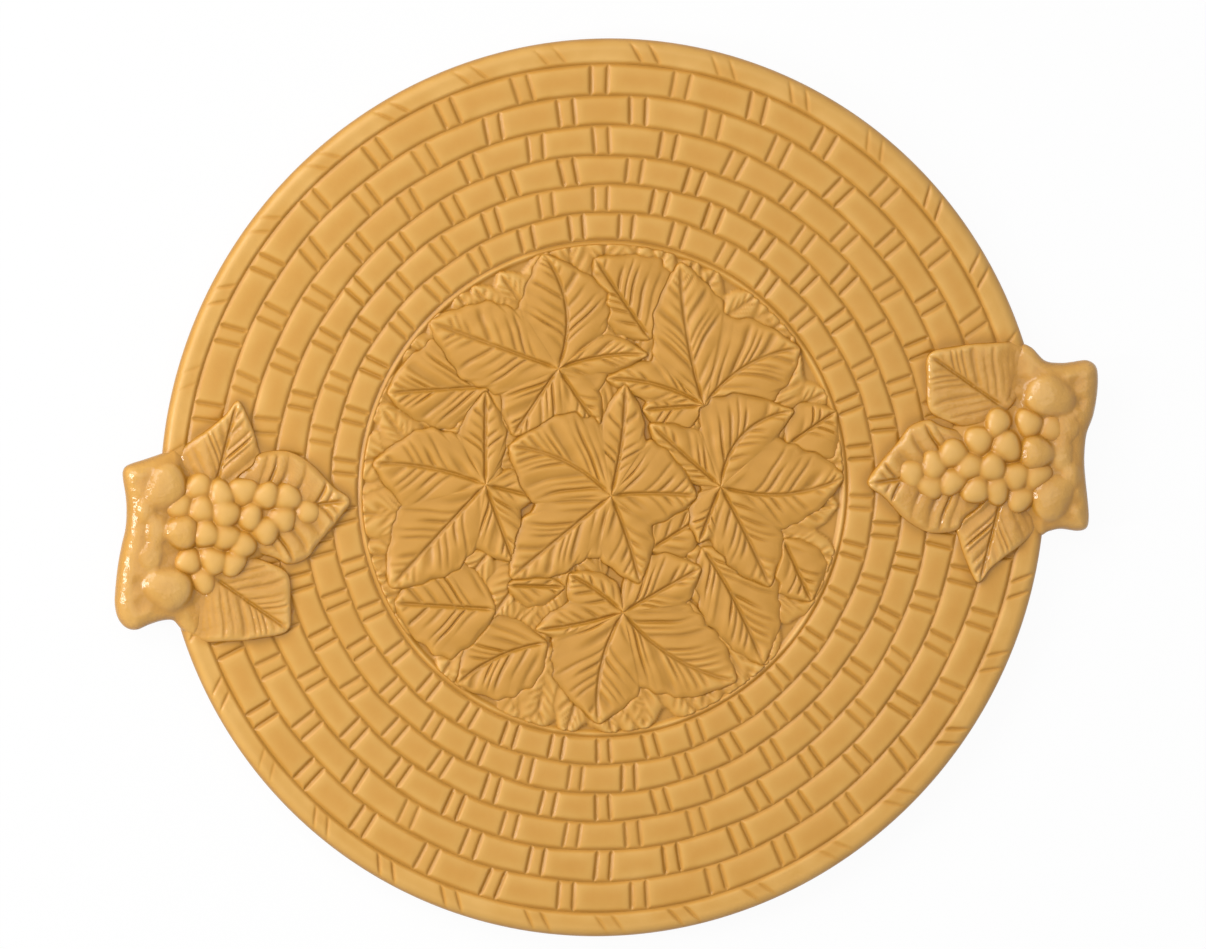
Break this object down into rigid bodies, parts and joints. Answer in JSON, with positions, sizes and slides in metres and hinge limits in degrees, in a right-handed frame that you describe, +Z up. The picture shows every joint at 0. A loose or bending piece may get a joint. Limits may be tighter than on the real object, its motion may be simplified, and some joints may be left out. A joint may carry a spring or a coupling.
{
  "type": "cheese board",
  "caption": "Round glazed earthenware serving board with a basket-weave field, a medallion of vine leaves and lug handles dressed with leaves and grapes.",
  "frame": {"origin": "middle of the foot ring, on the surface that the board stands on", "axes": "+X from the middle of the board out through the right handle, +Z up out of the serving face"},
  "size_m": [0.3722, 0.3294, 0.0213],
  "materials": {
    "glazed_body": "gloss",
    "glazed_foot": "gloss",
    "glazed_leaf": "gloss",
    "glazed_handle": "gloss",
    "glazed_grape": "gloss"
  },
  "bodies": {
    "root": {"platter_disc": "glazed_body", "foot_ring": "glazed_foot", "medallion_leaf_centre": "glazed_leaf", "medallion_leaf_right": "glazed_leaf", "medallion_leaf_top": "glazed_leaf", "medallion_leaf_left": "glazed_leaf", "medallion_leaf_bottom": "glazed_leaf", "medallion_leaf_upper_right": "glazed_leaf", "back_leaf_lower_right": "glazed_leaf", "back_leaf_upper_left": "glazed_leaf", "back_leaf_lower_left": "glazed_leaf", "back_leaf_bottom_left": "glazed_leaf", "back_leaf_top": "glazed_leaf", "back_leaf_right": "glazed_leaf", "back_leaf_upper_edge": "glazed_leaf", "small_leaf_inner": "glazed_leaf", "small_leaf_lower": "glazed_leaf", "right_handle_lug": "glazed_handle", "right_handle_inner_leaf": "glazed_handle", "right_handle_broad_leaf": "glazed_handle", "right_handle_pointed_leaf": "glazed_handle", "right_grape_bunch": "glazed_grape", "left_handle_lug": "glazed_handle", "left_handle_inner_leaf": "glazed_handle", "left_handle_broad_leaf": "glazed_handle", "left_handle_pointed_leaf": "glazed_handle", "left_grape_bunch": "glazed_grape"}
  },
  "joints": []
}
